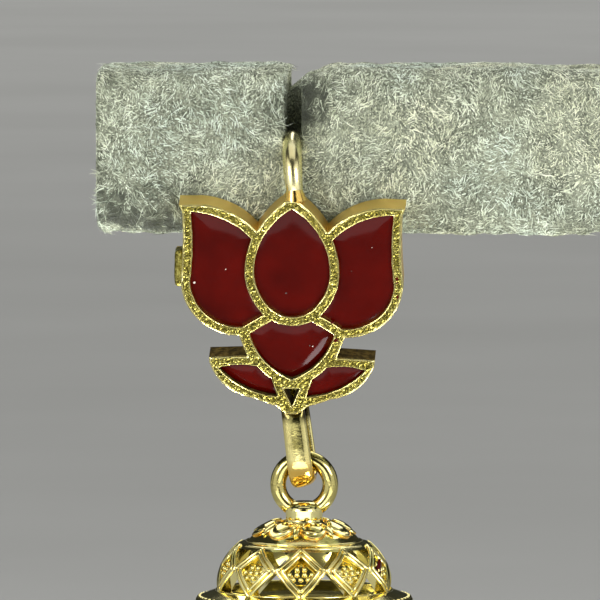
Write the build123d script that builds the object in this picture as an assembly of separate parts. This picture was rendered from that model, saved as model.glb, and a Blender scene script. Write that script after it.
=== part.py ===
"""Jhumka ear drop hanging by its hook from a velvet display bar.

Millimetres, +Z up, front towards -Y, +X to the right as seen from the front.
The origin is the inside top of the ear hook's arch, where the drop hangs.
From top to bottom: the velvet bar, a lotus plaque with six red enamel cells and the hook
soldered to its top, a flat strap link, and a hollow bell with a ring, a petal cap and a
pierced band of ten diamonds.
"""

import os
from math import atan2, cos, degrees, hypot, radians, sin, tan

from build123d import *

# ---- driving dimensions ----

# Ear hook: round wire, arched from front to back over the display bar's core.
WIRE_D = 1.2
HOOK_R = 3.5
HOOK_TAIL = 8.6
HOOK_TILT = -5.0
HOOK_SUNK = 0.9
SOLDER_D = 1.75
SOLDER_H = 0.9
SOLDER_RISE = 0.5

# Lotus plaque: a cast plate that leans forward at the top, and turns a little in its own plane.
PLATE_T = 2.0
PLATE_LEAN = 18.0
PLATE_TURN = -1.0
PLATE_X = 0.13
PLATE_Y = -3.33
PLATE_TOP_Z = -3.51
CELL_DEPTH = 0.7
RIM_WIDTH = 0.68
RIM_OUTER_EDGE = 0.2
RIM_INNER_EDGE = 0.1
RIM_SINK = 0.06
STUB_AT = (-8.15, -5.75, -0.1)
STUB_SIZE = (0.9, 2.6, 1.3)
ENAMEL_GAP = 0.03
ENAMEL_SINK = 0.05
ENAMEL_DOME_R = 42.0

# Staple behind the plaque's lower tip, which carries the link.
STAPLE_D = 0.8
STAPLE_HALF = 2.0
STAPLE_DOWN = 15.2
STAPLE_Z = -17.94
STAPLE_Y = 4.6
STAPLE_CORNER = 0.6

# Flat strap link.
STRAP_W = 1.76
STRAP_T = 0.5
STRAP_INSIDE = 0.9
STRAP_TOP = (-0.44, -17.24)
STRAP_BOTTOM = (0.51, -24.8)
STRAP_SLOPE = 9.0
STRAP_YAW = 6.0
STRAP_EDGE_R = 0.16

# Bell: the ring, collar, petal cap, pierced band and skirt are soldered into one.
BELL_X = 0.57
RING_R = 1.95
RING_WIRE_R = 0.6
RING_Z = -25.55
PETALS = 8
PETAL_TURN = 15.0
PETAL_RAISE = 0.16
PETAL_R = 2.9
PETAL_HALF = (0.95, 1.0)
DIAMONDS = 10
DIAMOND_TURN = 0.5
FIELD_SINK = 0.28

# Velvet display bar.
BAR_LEFT = -14.57
BAR_RIGHT = 23.83
BAR_BOTTOM = -6.5
BAR_TOP = 5.8
BAR_FRONT = -1.6
BAR_DEEP = 12.3
BAR_CORNER = 2.4
BAR_END_R = 0.7
SLIT_W = 1.5
SLIT_X = -0.02
TAIL_SLIT_W = 2.1
TAIL_SLIT_X = 0.3
SHOULDER_R = 5.5
SHOULDER_FALL = 2.1
CORE_GAP = 0.3
CUT_SPARE = 2.0

os.makedirs("parts", exist_ok=True)


def write(shape, node):
    """Writes one piece as a labelled STEP of its own."""
    solid = shape.solids()[0]
    solid.label = node
    export_step(solid, f"parts/{node}.step")


def both_sides(strokes):
    """Closes a symmetric outline. Strokes are drawn on the right of the axis, as lists of two
    points for a line and three for an arc, and drawn again on the left."""
    edges = []
    for side in (1, -1):
        for stroke in strokes:
            points = [(side * x, y) for x, y in stroke]
            edges.append(Line(*points) if len(points) == 2 else ThreePointArc(*points))
    return make_face(Curve() + edges)


def slab(face, low, high):
    """A flat face of the plaque's own plane, thickened from low to high."""
    return Pos(0, 0, low) * extrude(face, high - low)


# ---- display bar ----
# A rounded square bar covered in velvet. A slit in its front takes the ear hook's arch and a
# wider one behind takes its tail. The foam below the arch is left whole, with a round top for
# the arch to hang over. Right of the slit the top slopes down to it. The right end is flat.

bar_middle = (BAR_BOTTOM + BAR_TOP) / 2
bar_face = Plane(origin=(0, BAR_FRONT + BAR_DEEP / 2, bar_middle), x_dir=(0, 1, 0), z_dir=(1, 0, 0))
bar_section = RectangleRounded(BAR_DEEP, BAR_TOP - BAR_BOTTOM, BAR_CORNER)
bar = Pos(BAR_LEFT, 0, 0) * extrude(bar_face * bar_section, BAR_RIGHT - BAR_LEFT)
bar = fillet(bar.faces().sort_by(Axis.X)[0].edges(), BAR_END_R)

arch_z = -(HOOK_R - WIRE_D / 2)
core_r = HOOK_R - WIRE_D / 2 - CORE_GAP
tail_back = HOOK_R + WIRE_D / 2 + CORE_GAP
slit_front = BAR_FRONT - CUT_SPARE
slit_top = BAR_TOP + CUT_SPARE
slit_foot = BAR_BOTTOM - CUT_SPARE
front_top = (Align.CENTER, Align.MIN, Align.MAX)
slit = Pos(SLIT_X, slit_front, slit_top) * Box(
    SLIT_W, core_r - slit_front, slit_top - arch_z, align=front_top
)
slit -= Pos(SLIT_X, 0, arch_z) * Rot(0, 90, 0) * Cylinder(core_r, SLIT_W)
tail_slit = Pos(TAIL_SLIT_X, core_r, slit_top) * Box(
    TAIL_SLIT_W, tail_back - core_r, slit_top - slit_foot, align=front_top
)
bar -= slit + tail_slit

# Right of the slit's left wall the top is cut to an arc that falls away to the left.
wall_x = SLIT_X - SLIT_W / 2
shoulder_run = (SHOULDER_R**2 - (SHOULDER_R - SHOULDER_FALL) ** 2) ** 0.5
shoulder = Rectangle(shoulder_run, SHOULDER_FALL + CUT_SPARE, align=(Align.MIN, Align.MIN))
shoulder -= Pos(shoulder_run, SHOULDER_FALL - SHOULDER_R) * Circle(SHOULDER_R)
shoulder_at = Plane(
    origin=(wall_x, slit_front, BAR_TOP - SHOULDER_FALL), x_dir=(1, 0, 0), z_dir=(0, -1, 0)
)
bar -= extrude(shoulder_at * shoulder, -(BAR_DEEP + 2 * CUT_SPARE))
write(bar, "display_bar")

# ---- lotus plaque ----
# Outlines are drawn in the plaque's own plane: x to the right, y up from the top tip.

lean = radians(PLATE_LEAN)
turn = radians(PLATE_TURN)
plaque = Plane(
    origin=(PLATE_X, PLATE_Y, PLATE_TOP_Z),
    x_dir=(cos(turn), -sin(turn) * sin(lean), sin(turn) * cos(lean)),
    z_dir=(0, -cos(lean), -sin(lean)),
)
front = PLATE_T / 2

# Teardrop petal: an arc from the point to the widest place, an arc on down and a round foot.
drop_point = -0.63
drop_wide = (2.81, -5.7)
drop_foot = -9.24
foot_r = 2.3
upper_x = (drop_wide[0] ** 2 - (drop_point - drop_wide[1]) ** 2) / (2 * drop_wide[0])
foot_rise = drop_wide[1] - drop_foot - foot_r
foot_in = drop_wide[0] - foot_r
lower_x = (foot_in**2 - foot_rise**2) / (2 * foot_in)
lower_turn = degrees(atan2(foot_rise, -lower_x))


def teardrop(grow):
    """The middle petal's outline, grown outwards by a distance."""
    edges = []
    upper_r = drop_wide[0] - upper_x + grow
    upper_turn = degrees(atan2((upper_r**2 - upper_x**2) ** 0.5, -upper_x))
    lower_r = drop_wide[0] - lower_x + grow
    for side, start in ((1, 0), (-1, 180)):
        edges.append(CenterArc((side * upper_x, drop_wide[1]), upper_r, start, side * upper_turn))
        edges.append(CenterArc((side * lower_x, drop_wide[1]), lower_r, start, -side * lower_turn))
    foot_at = (0, drop_foot + foot_r)
    edges.append(CenterArc(foot_at, foot_r + grow, 180 + lower_turn, 180 - 2 * lower_turn))
    return make_face(Curve() + edges)


def shield(grow):
    """The lower petal: two straight shoulders that run up behind the teardrop, and round sides."""
    shoulder = [(0, -8.6), (3.15, -10.6)]
    flank = [(3.15, -10.6), (2.41, -12.3), (0, -14.24)]
    body = both_sides([shoulder, flank])
    return body if grow == 0 else offset(body, grow, kind=Kind.INTERSECTION)


def side_petal(side):
    """A side petal before its neighbours' rims are taken out of it; side is 1 or -1."""
    top = ThreePointArc((side * 2.2, -4.2), (side * 4.5, -1.83), (side * 7.52, -0.99))
    wall = ThreePointArc((side * 7.52, -0.99), (side * 7.36, -3.4), (side * 7.55, -6.5))
    foot = ThreePointArc((side * 7.55, -6.5), (side * 3.92, -10.13), (side * 0.29, -6.5))
    inner = Line((side * 0.29, -6.5), (side * 2.2, -4.2))
    return make_face(Curve() + [top, wall, foot, inner])


def leaf(side):
    """A leaf beside the shield's point; side is 1 or -1."""
    top = ThreePointArc((side * 1.75, -13.45), (side * 3.7, -13.1), (side * 5.48, -13.4))
    foot = ThreePointArc((side * 5.48, -13.4), (side * 3.75, -14.82), (side * 1.04, -15.6))
    inner = Line((side * 1.04, -15.6), (side * 1.75, -13.45))
    return make_face(Curve() + [top, foot, inner])


cells = {
    "enamel_teardrop": teardrop(0),
    "enamel_petal_right": side_petal(1) - teardrop(RIM_WIDTH) - shield(RIM_WIDTH),
    "enamel_petal_left": side_petal(-1) - teardrop(RIM_WIDTH) - shield(RIM_WIDTH),
    "enamel_shield": shield(0) - teardrop(RIM_WIDTH),
    "enamel_leaf_right": leaf(1) - shield(RIM_WIDTH),
    "enamel_leaf_left": leaf(-1) - shield(RIM_WIDTH),
}

outline = both_sides(
    [
        [(0, 0), (0.5, -0.1)],
        [(0.5, -0.1), (1.68, -1.2), (2.61, -2.48)],
        [(2.61, -2.48), (4.52, -1.02), (6.74, -0.45)],
        [(6.74, -0.45), (8.35, -0.5)],
        [(8.35, -0.5), (8.1, -1.05)],
        [(8.1, -1.05), (8.06, -3.8), (8.22, -6.5)],
        [(8.22, -6.5), (6.96, -9.54), (3.92, -10.8)],
        [(3.92, -10.8), (3.3, -12.42)],
        [(3.3, -12.42), (6.15, -12.56)],
        [(6.15, -12.56), (6.12, -12.95)],
        [(6.12, -12.95), (5.0, -14.75), (2.9, -15.76)],
        [(2.9, -15.76), (1.13, -16.4)],
        [(1.13, -16.4), (0.43, -17.0)],
        [(0.43, -17.0), (0, -17.0)],
    ]
)
hole = make_face(Polyline((-0.67, -14.93), (0.67, -14.93), (0, -16.47), (-0.67, -14.93)))

casting = slab(outline, -front, front)
for cell in cells.values():
    casting -= slab(cell, front - CELL_DEPTH, front + 1)
casting -= slab(hole, -front - 1, front + 1)

# The rims' flat tops are sunk a little between fine raised edges.
rim_floor = offset(outline, -RIM_OUTER_EDGE)
for cell in [*cells.values(), hole]:
    rim_floor -= offset(cell, RIM_INNER_EDGE)
for floor in rim_floor.faces():
    casting -= slab(floor, front - RIM_SINK, front + 1)

# A rough stub of the casting gate is left on the plaque's left wall.
casting += Pos(*STUB_AT) * Box(*STUB_SIZE)
casting = plaque * casting

# Ear hook: up from the top tip, back over the arch and down to a plain tail.
foot = Vector(0, -HOOK_R, PLATE_TOP_Z - HOOK_SUNK)
hook_line = Curve() + [
    Line(foot, (0, -HOOK_R, arch_z)),
    ThreePointArc((0, -HOOK_R, arch_z), (0, 0, arch_z + HOOK_R), (0, HOOK_R, arch_z)),
    Line((0, HOOK_R, arch_z), (0, HOOK_R, arch_z - HOOK_TAIL)),
]
wire = sweep(Plane(origin=foot, z_dir=(0, 0, 1)) * Circle(WIRE_D / 2), path=hook_line)
solder_z = PLATE_TOP_Z + SOLDER_RISE - SOLDER_H / 2
solder = Pos(0, -HOOK_R, solder_z) * Cone(SOLDER_D / 2, WIRE_D / 2, SOLDER_H)
hook = Rot(0, HOOK_TILT, 0) * (wire + solder)

# Staple: two legs straight back from the plaque and a bar across, for the link to swing on.
at = plaque * Pos(0, -STAPLE_DOWN, 0)
staple_x = at.position.X
leg_y = at.position.Y
corner = STAPLE_CORNER
left_x = staple_x - STAPLE_HALF
right_x = staple_x + STAPLE_HALF
back_y = STAPLE_Y - corner
staple_line = Curve() + [
    Line((left_x, leg_y, STAPLE_Z), (left_x, back_y, STAPLE_Z)),
    CenterArc((0, 0), corner, 90, 90).moved(Pos(left_x + corner, back_y, STAPLE_Z)),
    Line((left_x + corner, STAPLE_Y, STAPLE_Z), (right_x - corner, STAPLE_Y, STAPLE_Z)),
    CenterArc((0, 0), corner, 0, 90).moved(Pos(right_x - corner, back_y, STAPLE_Z)),
    Line((right_x, back_y, STAPLE_Z), (right_x, leg_y, STAPLE_Z)),
]
leg_end = Plane(origin=(left_x, leg_y, STAPLE_Z), z_dir=(0, 1, 0))
staple = sweep(leg_end * Circle(STAPLE_D / 2), path=staple_line)
casting = casting + hook + staple
write(casting, "lotus_casting")

# ---- enamel ----
# Each cell is filled to just under its rim, with a slightly domed surface.

for node, cell in cells.items():
    fill = slab(offset(cell, -ENAMEL_GAP), front - CELL_DEPTH + ENAMEL_GAP, front)
    middle = cell.face().center()
    dome_at = front - ENAMEL_SINK - ENAMEL_DOME_R
    fill &= Pos(middle.X, middle.Y, dome_at) * Sphere(ENAMEL_DOME_R)
    write(plaque * fill, node)

# ---- strap link ----
# A flat strap bent into a closed loop. It leans, and its two bends slope across its width.

link_run = (STRAP_BOTTOM[0] - STRAP_TOP[0], STRAP_BOTTOM[1] - STRAP_TOP[1])
link_tilt = degrees(atan2(link_run[0], -link_run[1]))
link_inside = hypot(*link_run)
link_middle = ((STRAP_TOP[0] + STRAP_BOTTOM[0]) / 2, STAPLE_Y, (STRAP_TOP[1] + STRAP_BOTTOM[1]) / 2)
straight = link_inside - 2 * STRAP_INSIDE
outer_loop = SlotCenterToCenter(straight, 2 * (STRAP_INSIDE + STRAP_T), rotation=90)
inner_loop = SlotCenterToCenter(straight, 2 * STRAP_INSIDE, rotation=90)
section = Plane(origin=(0, 0, 0), x_dir=(0, 1, 0), z_dir=(1, 0, 0)) * (outer_loop - inner_loop)
shear = radians(STRAP_SLOPE - link_tilt)
strap = extrude(section.face(), STRAP_W / 2, dir=(cos(shear), 0, sin(shear)), both=True)
strap = fillet(strap.faces().sort_by(SortBy.AREA)[-1].edges(), STRAP_EDGE_R)
strap = Pos(*link_middle) * Rot(0, -link_tilt, 0) * Rot(0, 0, -STRAP_YAW) * strap
write(strap, "strap_link")

# ---- bell ----
# Heights are the origin's, radii are from the bell's own upright axis.


def turned(profile):
    """A closed profile of radius and height, turned about the bell's axis."""
    return revolve(Plane.XZ * profile, Axis.Z)


ring = Pos(0, 0, RING_Z) * Rot(90, 0, 0) * Torus(RING_R, RING_WIRE_R)

# Solid collar with a rounded shoulder, flaring into the petal cap.
cap_start = (1.7, -28.45)
cap_swell = (3.3, -28.92)
cap_lip = (4.2, -29.72)
band_top = (4.76, -29.82)
collar_cap = make_face(
    Curve()
    + [
        Line((0, -26.75), (0.55, -26.78)),
        ThreePointArc((0.55, -26.78), (1.13, -26.97), (1.42, -27.45)),
        Line((1.42, -27.45), (1.36, -28.15)),
        ThreePointArc((1.36, -28.15), (1.46, -28.36), cap_start),
        ThreePointArc(cap_start, cap_swell, cap_lip),
        Line(cap_lip, band_top),
        Line(band_top, (4.86, -30.05)),
        Line((4.86, -30.05), (3.7, -30.3)),
        ThreePointArc((3.7, -30.3), (2.6, -29.45), (1.2, -29.2)),
        Line((1.2, -29.2), (0, -29.2)),
        Line((0, -29.2), (0, -26.75)),
    ]
)


def layer(arc, low, high):
    """A thin layer that follows an arc of the profile, between two copies of it moved
    outwards and up; a distance below zero moves the copy inwards and down."""
    copies = []
    for distance in (low, high):
        step = distance * sin(radians(45))
        copies.append([(x + step, z + step) for x, z in arc])
    edges = [ThreePointArc(*copy) for copy in copies]
    edges += [Line(copies[0][end], copies[1][end]) for end in (0, 2)]
    return turned(make_face(Curve() + edges))


# The pierced band's shell, then the shoulder and the skirt with a rolled lip.
band_waist = (6.02, -31.46)
band_foot = (6.5, -33.4)
band_shell = make_face(
    Curve()
    + [
        ThreePointArc(band_top, band_waist, band_foot),
        Line(band_foot, (5.7, -33.4)),
        ThreePointArc((5.7, -33.4), (5.22, -31.62), (3.98, -30.1)),
        Line((3.98, -30.1), band_top),
    ]
)
skirt = make_face(
    Curve()
    + [
        Line((5.7, -33.36), (6.5, -33.36)),
        Line((6.5, -33.36), (7.75, -33.82)),
        ThreePointArc((7.75, -33.82), (8.1, -34.05), (8.15, -34.4)),
        ThreePointArc((8.15, -34.4), (9.35, -37.0), (10.0, -40.3)),
        ThreePointArc((10.0, -40.3), (10.35, -40.7), (10.0, -41.1)),
        ThreePointArc((10.0, -41.1), (9.5, -41.1), (9.2, -40.7)),
        ThreePointArc((9.2, -40.7), (8.5, -37.2), (7.3, -34.7)),
        ThreePointArc((7.3, -34.7), (6.7, -34.25), (5.7, -34.05)),
        Line((5.7, -34.05), (5.7, -33.36)),
    ]
)


def wedge(corners, near=3.0, far=9.0):
    """A cut that widens outwards from the axis. Each corner is an angle from its middle, in
    degrees, and a height; the cut faces the front."""
    ends = []
    for reach in (near, far):
        flat = [(reach * tan(radians(angle)), -reach, height) for angle, height in corners]
        ends.append(make_face(Polyline(*flat, flat[0])))
    return loft(ends, ruled=True)


bell = turned(collar_cap) + turned(band_shell) + turned(skirt) + ring

# Between the diamonds the band is cut through, above and below their side corners. Inside
# each diamond the field is sunk behind its frame. The cap carries a ring of raised petals.
upper_gap = wedge([(-14.6, -30.17), (14.6, -30.17), (0, -31.3)])
lower_gap = wedge([(-15.6, -33.34), (15.6, -33.34), (0, -31.64)])
field = wedge([(0, -30.42), (12.4, -31.5), (0, -32.9), (-12.4, -31.5)])
field &= layer((band_top, band_waist, band_foot), -FIELD_SINK, 1)
for index in range(DIAMONDS):
    turn = DIAMOND_TURN + 360 * index / DIAMONDS
    half_turn = Rot(0, 0, turn + 180 / DIAMONDS)
    bell = bell - half_turn * upper_gap - half_turn * lower_gap - Rot(0, 0, turn) * field

petal = Pos(0, -PETAL_R, cap_lip[1]) * extrude(Ellipse(*PETAL_HALF), 2)
petal &= layer((cap_start, cap_swell, cap_lip), -0.2, PETAL_RAISE)
for index in range(PETALS):
    bell += Rot(0, 0, PETAL_TURN + 360 * index / PETALS) * petal
write(Pos(BELL_X, STAPLE_Y, 0) * bell, "bell")
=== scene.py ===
"""Looks of a lotus jhumka ear drop that hangs by its hook from a velvet display bar.

The pieces follow the order in which the real drop is put together: the display bar, the
lotus plaque and its enamel, the strap link, the bell, and last the studio around them.
Sizes are in millimetres until a mesh is made, and +Z is up with the front towards -Y.
"""

import bmesh
import bpy
import numpy as np
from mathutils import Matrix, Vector


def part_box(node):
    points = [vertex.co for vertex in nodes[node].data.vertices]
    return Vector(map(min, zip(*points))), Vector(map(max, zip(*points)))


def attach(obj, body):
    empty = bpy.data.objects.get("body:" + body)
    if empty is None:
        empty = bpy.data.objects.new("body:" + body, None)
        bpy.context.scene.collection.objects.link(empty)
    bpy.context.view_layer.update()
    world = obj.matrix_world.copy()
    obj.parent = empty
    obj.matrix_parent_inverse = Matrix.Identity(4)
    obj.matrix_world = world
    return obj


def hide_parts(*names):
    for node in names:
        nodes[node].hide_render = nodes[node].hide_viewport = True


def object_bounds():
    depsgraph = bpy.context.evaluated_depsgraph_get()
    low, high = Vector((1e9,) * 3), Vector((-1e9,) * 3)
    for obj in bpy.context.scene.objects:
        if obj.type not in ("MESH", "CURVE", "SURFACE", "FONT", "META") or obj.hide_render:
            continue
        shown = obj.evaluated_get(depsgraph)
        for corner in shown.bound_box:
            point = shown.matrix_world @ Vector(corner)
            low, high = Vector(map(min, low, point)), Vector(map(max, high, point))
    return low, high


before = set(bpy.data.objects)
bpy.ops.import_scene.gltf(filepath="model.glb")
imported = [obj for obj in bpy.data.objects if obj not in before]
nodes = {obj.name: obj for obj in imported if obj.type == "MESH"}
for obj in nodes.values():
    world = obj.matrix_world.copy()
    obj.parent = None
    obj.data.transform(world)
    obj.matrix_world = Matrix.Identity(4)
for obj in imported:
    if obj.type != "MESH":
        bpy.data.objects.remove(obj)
cad_low, cad_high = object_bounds()

# ---- display bar cover ----
# A square foam bar wrapped in one sheet of short-pile velvet, glued down inside a slit. The
# slit's left lip is sharp. On its right the bar's top slopes down into the slit and the front
# edge is rounded. Behind, the slit widens for the hook's tail.

MM = 0.001
bar_low, bar_high = (np.array(corner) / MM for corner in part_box("display_bar"))
COVER_INSET = 0.05
COVER_CORNER = 2.35
COVER_END_R = 0.65
COVER_PUFF = 0.11
CLOUDS, KNOTS, CLOUD_SHARE = 2.4, 0.16, 0.4
STAIN_AND_SHADE_DARK = (0.03, 0.034, 0.022)
WEAVE_SHADE_DARK, PALE_WEAVE = (0.06, 0.067, 0.046), (0.35, 0.378, 0.277)
SLIT_LEFT, SLIT_RIGHT, SLIT_BACK = -0.72, 0.68, 4.4
LIP_LEFT, LIP_RIGHT = 0.2, 1.2
LIP_FOOT, LIP_RISE = 0.12, 0.88
SHOULDER_R, SHOULDER_FALL = 5.5, 2.1
TAIL_ROOM, TAIL_FROM = 0.65, 2.2
CREASE_Z, CREASE_FROM, CREASE_DEEP, CREASE_HALF = 3.2, -3.1, 0.32, 0.17
SWELL_HIGH, SWELL_UP, SWELL_HALF = 0.14, 0.5, 0.4


def smooth_step(value):
    """Rises from 0 to 1 as value does, flat at both ends."""
    value = np.clip(value, 0, 1)
    return value * value * (3 - 2 * value)


def wander(points, size, seed, waves=9):
    """Smooth noise of about -1 to 1: a sum of sine waves of random direction and phase,
    whose lengths lie around size."""
    rng = np.random.default_rng(seed)
    way = rng.normal(size=(waves, 3))
    way /= np.linalg.norm(way, axis=1, keepdims=True)
    way *= 2 * np.pi / size * rng.uniform(0.6, 1.6, (waves, 1))
    phase = rng.uniform(0, 2 * np.pi, waves)
    return np.sin(points @ way.T + phase).sum(-1) / waves**0.5


def unit(vectors):
    """Vectors scaled to length one."""
    return vectors / np.maximum(np.linalg.norm(vectors, axis=-1, keepdims=True), 1e-12)


def link_piece(name, mesh, smooth=True):
    """Puts a mesh into the scene as a piece."""
    if smooth:
        mesh.shade_smooth()
    else:
        mesh.shade_flat()
    piece = bpy.data.objects.new(name, mesh)
    bpy.context.scene.collection.objects.link(piece)
    return piece


def grid_mesh(name, points, close_rows=False, close_columns=False, weld=True, smooth=True):
    """One piece from grids of points, copies by rows by columns by three, in millimetres, with
    a quad between each four neighbours. Welding closes the poles and turns faces outwards."""
    points = points.reshape((-1,) + points.shape[-3:])
    index = np.arange(points[..., 0].size).reshape(points.shape[:3])
    if close_rows:
        index = np.concatenate([index, index[:, :1]], 1)
    if close_columns:
        index = np.concatenate([index, index[:, :, :1]], 2)
    ring = [index[:, :-1, :-1], index[:, 1:, :-1], index[:, 1:, 1:], index[:, :-1, 1:]]
    quads = np.stack(ring, -1).reshape(-1, 4)
    mesh = bpy.data.meshes.new(name)
    mesh.from_pydata((points.reshape(-1, 3) * MM).tolist(), [], quads.tolist())
    if weld:
        work = bmesh.new()
        work.from_mesh(mesh)
        bmesh.ops.remove_doubles(work, verts=work.verts, dist=1e-7)
        bmesh.ops.recalc_face_normals(work, faces=work.faces)
        work.to_mesh(mesh)
        work.free()
    return link_piece(name, mesh, smooth)


def finish_piece(piece, body, material, replaced=()):
    """Gives a new piece its body, its material and what it replaces."""
    piece.data.materials.append(material)
    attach(piece, body)
    if replaced:
        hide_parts(*replaced)


def add(tree, kind, inputs=None, **settings):
    """Adds a shader node. Inputs are numbers, colours or other nodes' outputs, by socket."""
    made = tree.nodes.new("ShaderNode" + kind)
    for key, value in settings.items():
        setattr(made, key, value)
    for key, value in (inputs or {}).items():
        if isinstance(value, bpy.types.NodeSocket):
            tree.links.new(value, made.inputs[key])
        else:
            made.inputs[key].default_value = value
    return made


def calc(tree, operation, *values, clamp=False):
    """The output of a math node."""
    made = add(tree, "Math", dict(enumerate(values)), operation=operation, use_clamp=clamp)
    return made.outputs[0]


def noise(tree, place, size, detail=2.0):
    """Cloudy noise, with clouds of a size in millimetres."""
    inputs = {"Vector": place, "Scale": 1 / (size * MM), "Detail": detail}
    return add(tree, "TexNoise", inputs).outputs["Fac"]


def ramp(tree, value, *stops):
    """A colour ramp, with stops of (place, colour)."""
    made = add(tree, "ValToRGB", {"Fac": value})
    elements = made.color_ramp.elements
    while len(elements) < len(stops):
        elements.new(0.5)
    for element, (place, colour) in zip(elements, stops):
        element.position = place
        element.color = (*colour, 1)
    return made.outputs["Color"]


def between(tree, value, start, end, low=0.0, high=1.0):
    """Goes from low to high as value goes from start to end."""
    inputs = {"Value": value, "From Min": start, "From Max": end, "To Min": low, "To Max": high}
    return add(tree, "MapRange", inputs).outputs["Result"]


def blend_colour(tree, share, first, second, kind="MIX"):
    """Mixes two colours, or multiplies them, by a share."""
    first, second = (
        colour if isinstance(colour, bpy.types.NodeSocket) else (*colour, 1) for colour in (first, second)
    )
    inputs = {0: share, 6: first, 7: second}
    return add(tree, "Mix", inputs, data_type="RGBA", blend_type=kind).outputs[2]


def feed(tree, shader, key, value):
    """Links a node's output to a socket of a shader."""
    tree.links.new(value, shader.inputs[key])


def new_material(name, **sockets):
    """A material with one Principled shader; returns it, its tree, its shader and the
    object's own coordinates. Plain values go on the shader's sockets."""
    made = bpy.data.materials.new(name)
    made.use_nodes = True
    tree = made.node_tree
    shader = tree.nodes["Principled BSDF"]
    for key, value in sockets.items():
        shader.inputs[key.replace("_", " ")].default_value = value
    return made, tree, shader, add(tree, "TexCoord").outputs["Object"]


def cover_section(inset, top, steps=(16, 16, 16, 36)):
    """A round-cornered box in the YZ plane, under a given top: a quarter circle and the even
    steps of a straight side, four times, over, down, under and up the front."""
    box_low = bar_low[1:] + COVER_INSET + inset
    box_high = np.array([bar_high[1] - COVER_INSET, top]) - inset
    middle, half = (box_low + box_high) / 2, (box_high - box_low) / 2
    radius = max(COVER_CORNER - inset, 0.05)
    bend = np.linspace(0, np.pi / 2, 9)
    corners = []
    for quarter in range(4):
        angle = bend + quarter * np.pi / 2
        normal = np.stack([-np.cos(angle), np.sin(angle)], -1)
        corners.append(middle + np.sign(normal[4]) * (half - radius) + radius * normal)
    points = []
    for corner, following, count in zip(corners, corners[1:] + corners[:1], steps):
        way = np.linspace(0, 1, count)[1:-1, None]
        points += [corner, corner[-1] + way * (following[0] - corner[-1])]
    return np.concatenate(points)


def bar_top(x):
    """Height of the bar's top: level on the left of the slit, and on its right an arc that
    rises from the slit's left wall until it is level."""
    top = bar_high[2] - COVER_INSET
    run = (SHOULDER_R**2 - (SHOULDER_R - SHOULDER_FALL) ** 2) ** 0.5
    short = min(max(SLIT_LEFT + run - x, 0), run)
    return top if x <= SLIT_LEFT else top - SHOULDER_R + (SHOULDER_R**2 - short**2) ** 0.5


def cover_surface():
    """The cover as a grid. Rows are stations along X, each with its place, its inset, its
    share of the full section and how far back the front is pulled. The slit's walls are rows
    at one X whose front is pulled back step by step. Right of the slit the pull fades
    downwards to a small share at the foot."""
    left, right = bar_low[0] + COVER_INSET, bar_high[0] - COVER_INSET
    front = bar_low[1] + COVER_INSET
    bend = np.linspace(0, np.pi / 2, 7)
    end_x = COVER_END_R * (1 - np.cos(bend))
    end_inset = COVER_END_R * (1 - np.sin(bend))
    share = np.linspace(0, 1, 9)[:-1]

    def rows(x, inset=0.0, share=1.0, pull=front):
        return np.stack(np.broadcast_arrays(np.atleast_1d(x), inset, share, pull), -1)

    lip_out, lip_back = 1 - np.cos(bend), 1 - np.sin(bend)
    stations = np.concatenate(
        [
            rows(left, COVER_END_R, share),
            rows(left + end_x, end_inset),
            rows(np.linspace(left + COVER_END_R, SLIT_LEFT - LIP_LEFT, 46)[1:]),
            rows(SLIT_LEFT - LIP_LEFT * lip_back[1:], pull=front + LIP_LEFT * lip_out[1:]),
            rows(SLIT_LEFT, pull=np.linspace(front + LIP_LEFT, SLIT_BACK, 14)[1:]),
            rows(np.linspace(SLIT_LEFT + 0.001, SLIT_RIGHT, 7)[:-1], pull=SLIT_BACK),
            rows(SLIT_RIGHT, pull=np.linspace(SLIT_BACK, front + LIP_RIGHT, 12)),
            rows(SLIT_RIGHT + LIP_RIGHT * lip_out[1:], pull=front + LIP_RIGHT * lip_back[1:]),
            rows(np.linspace(SLIT_RIGHT + LIP_RIGHT, right - COVER_END_R, 66)[1:-1]),
            rows(right - end_x[::-1], end_inset[::-1]),
            rows(right, COVER_END_R, share[::-1]),
        ]
    )
    grid = []
    for x, inset, part, pull in stations:
        section = cover_section(inset, bar_top(x))
        middle = section.mean(0)
        y, z = (middle + part * (section - middle)).T
        lip_share = LIP_FOOT + LIP_RISE * smooth_step((z + 0.6) / 2.2) if x > SLIT_RIGHT else 1
        y = np.maximum(y, front + (pull - front) * lip_share)
        grid.append(np.stack([np.full(len(y), x), y, z], -1))
    return np.array(grid)


def shape_cover(grid):
    """Widens the slit behind for the hook's tail, presses a crease across the front by the
    left lip, with a swell above it, and puffs the foam in and out."""
    x, y, z = np.moveaxis(grid, -1, 0)
    room = np.clip((x - SLIT_LEFT) / (SLIT_RIGHT - SLIT_LEFT), 0, 1)
    room *= np.exp(-np.maximum(x - SLIT_RIGHT, 0) / 1.5)
    room *= smooth_step((y - TAIL_FROM) / 0.4) * smooth_step((SLIT_BACK + 0.9 - y) / 0.5)
    at_lip = smooth_step((x - CREASE_FROM) / 0.9) * (x < SLIT_LEFT) * (y < 0)
    above = z - CREASE_Z - 0.06 * (x - SLIT_LEFT)
    press = CREASE_DEEP * np.exp(-((above / CREASE_HALF) ** 2))
    press -= SWELL_HIGH * np.exp(-(((above - SWELL_UP) / SWELL_HALF) ** 2))
    moved = grid + np.stack([TAIL_ROOM * room, at_lip * press, 0 * z], -1)
    around = unit(grid - grid.mean(1, keepdims=True)) * [0, 1, 1]
    puff = COVER_PUFF * (wander(grid, 7, 11) + 0.7 * wander(grid, 2.6, 12))
    return moved + around * puff[..., None]


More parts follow.
